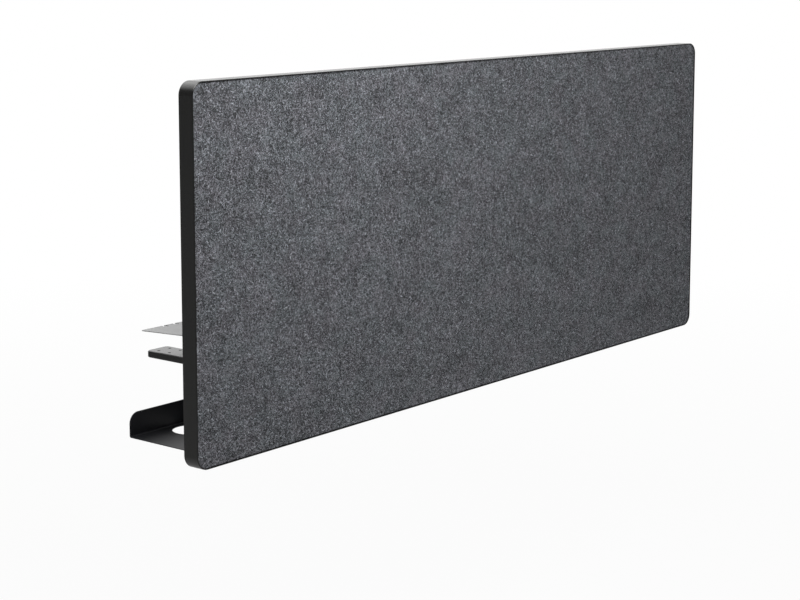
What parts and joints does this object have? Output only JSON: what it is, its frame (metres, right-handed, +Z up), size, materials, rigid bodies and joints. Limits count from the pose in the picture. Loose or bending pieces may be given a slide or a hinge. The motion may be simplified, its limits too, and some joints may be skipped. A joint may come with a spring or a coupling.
{
  "type": "acoustic desk screen",
  "caption": "Long felt-faced acoustic screen in a black edge profile, hung on the edge of a desktop by arms below it and plates above it, with a folded cable tray behind.",
  "frame": {"origin": "halfway along the screen, in the plane of its back rim, level with the tops of the arms: where the lower edge of the desktop meets the screen", "axes": "+X along the screen, +Y from the screen towards the desk, +Z up"},
  "size_m": [1.6, 0.219, 0.65],
  "materials": {
    "felt_grey": "needled felt, dark grey melange",
    "black_profile": "satin black powder coat",
    "black_arm": "semi-gloss black powder coat on a casting",
    "black_tray": "semi-gloss black powder coat on sheet steel",
    "grey_plate": "light grey paint on sheet steel",
    "core_wood": "plain birch plywood",
    "dowel_wood": "fluted beech",
    "absorber": "polyester fibre wadding",
    "splice_aluminium": "mill finish",
    "sleeve_aluminium": "turned",
    "zinc_screw": "zinc plated",
    "brass_insert": "turned"
  },
  "bodies": {
    "root": {"edge_profile": "black_profile", "profile_splice": "splice_aluminium", "splice_screws": "zinc_screw", "front_felt": "felt_grey", "rear_felt": "felt_grey", "top_rail": "core_wood", "bottom_rail": "core_wood", "left_stile": "core_wood", "right_stile": "core_wood", "mount_rail": "core_wood", "centre_stile": "core_wood", "frame_dowels": "dowel_wood", "absorber_upper_left": "absorber", "absorber_upper_right": "absorber", "absorber_lower": "absorber", "arm_left": "black_arm", "arm_right": "black_arm", "arm_screws": "zinc_screw", "arm_inserts": "brass_insert", "arm_sleeves": "sleeve_aluminium", "upper_plate_left": "grey_plate", "upper_plate_right": "grey_plate", "plate_screws": "zinc_screw", "plate_inserts": "brass_insert", "plate_sleeves": "sleeve_aluminium", "cable_tray": "black_tray", "tray_screws": "zinc_screw", "tray_inserts": "brass_insert", "tray_sleeves": "sleeve_aluminium"}
  },
  "joints": []
}
